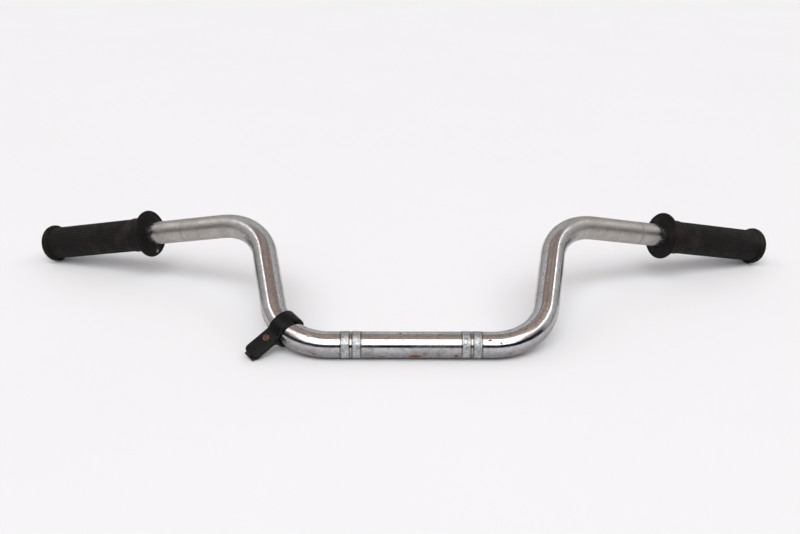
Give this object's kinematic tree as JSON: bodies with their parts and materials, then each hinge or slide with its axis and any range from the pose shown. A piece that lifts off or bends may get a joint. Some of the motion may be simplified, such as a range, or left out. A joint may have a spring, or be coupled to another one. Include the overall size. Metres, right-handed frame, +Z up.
{
  "type": "handlebar",
  "caption": "Chromed steel motorcycle handlebar with knurled clamp bands, swept handles, flanged rubber grips and a cable clip on a lower bend.",
  "frame": {"origin": "middle of the clamp section, on the tube's axis", "axes": "+X along the clamp section, +Y towards the grips, +Z up with the bar lying on its clamp section and both grip ends"},
  "size_m": [0.7492, 0.2467, 0.0772],
  "materials": {
    "chromed_tube": "bright chrome, dulled, with rust freckles and scratches",
    "grip_rubber": "matt black rubber, scuffed",
    "strip_steel": "plain steel, darkened",
    "clip_vinyl": "satin black vinyl dip",
    "rivet_steel": "rusted steel"
  },
  "bodies": {
    "bar": {"handlebar_tube": "chromed_tube", "left_grip": "grip_rubber", "right_grip": "grip_rubber"},
    "cable_clip": {"clip_strip": "strip_steel", "clip_jacket": "clip_vinyl", "clip_rivet": "rivet_steel"}
  },
  "joints": [
    {"name": "clip_swivel", "type": "hinge", "parent": "bar", "child": "cable_clip", "pos_m": [-0.10509, 0.01508, 0.00715], "axis": [-0.6691, 0.6716, 0.3182], "range_deg": [-90, 90]}
  ]
}
